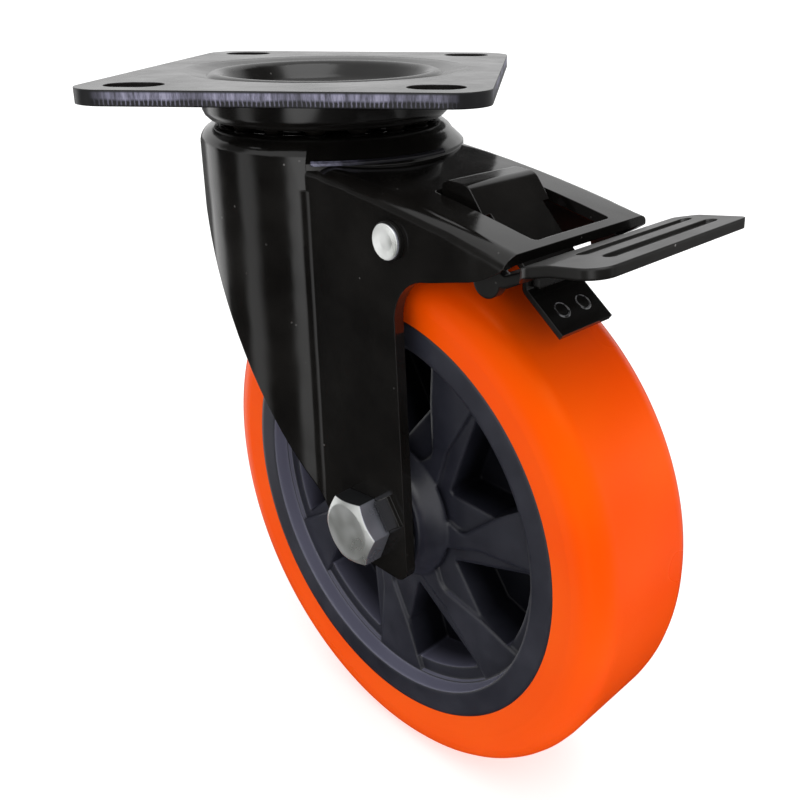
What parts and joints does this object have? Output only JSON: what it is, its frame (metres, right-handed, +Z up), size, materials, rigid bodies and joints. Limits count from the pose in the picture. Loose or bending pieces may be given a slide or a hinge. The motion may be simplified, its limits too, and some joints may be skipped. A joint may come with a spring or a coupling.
{
  "type": "swivel castor",
  "caption": "Swivel plate castor with a pressed steel fork, a polyurethane tyre on a spoked plastic core, and a foot pedal brake.",
  "frame": {"origin": "centre of the top face of the mounting plate", "axes": "+Z up out of the plate, +X along the plate's 100 mm side, +Y along its 115 mm side; the fork is stored swivelled 40 degrees from +X towards -Y"},
  "size_m": [0.1594, 0.1543, 0.193],
  "materials": {
    "black_paint": "gloss",
    "zinc": "satin",
    "bearing_steel": "polished",
    "core_plastic": "satin",
    "tread": "gloss"
  },
  "bodies": {
    "plate": {"top_plate": "black_paint", "upper_race_cup": "black_paint", "king_rivet": "black_paint", "lower_race_cap": "black_paint"},
    "swivel": {"fork": "black_paint", "upper_balls": "bearing_steel", "lower_balls": "bearing_steel", "axle_bolt": "zinc", "axle_nut": "zinc", "axle_washer": "zinc", "axle_sleeve": "zinc", "hub_spacer_near": "zinc", "hub_spacer_far": "zinc", "inner_race_near": "bearing_steel", "inner_race_far": "bearing_steel", "brake_pin": "zinc", "pin_washers": "black_paint"},
    "wheel": {"wheel_core": "core_plastic", "tyre": "tread", "outer_race_near": "bearing_steel", "outer_race_far": "bearing_steel", "bearing_balls_near": "bearing_steel", "bearing_balls_far": "bearing_steel"},
    "brake": {"brake_lever": "black_paint", "brake_shoe": "black_paint"}
  },
  "joints": [
    {"name": "swivel", "type": "hinge", "parent": "plate", "child": "swivel", "pos_m": [0, 0, 0], "axis": [0, 0, 1], "continuous": true},
    {"name": "wheel_spin", "type": "hinge", "parent": "swivel", "child": "wheel", "pos_m": [0.03256, -0.02732, -0.118], "axis": [0.6428, 0.766, 0], "continuous": true},
    {"name": "brake_pedal", "type": "hinge", "parent": "swivel", "child": "brake", "pos_m": [0.04328, -0.03632, -0.0349], "axis": [0.6428, 0.766, 0], "range_deg": [0, 8]}
  ]
}
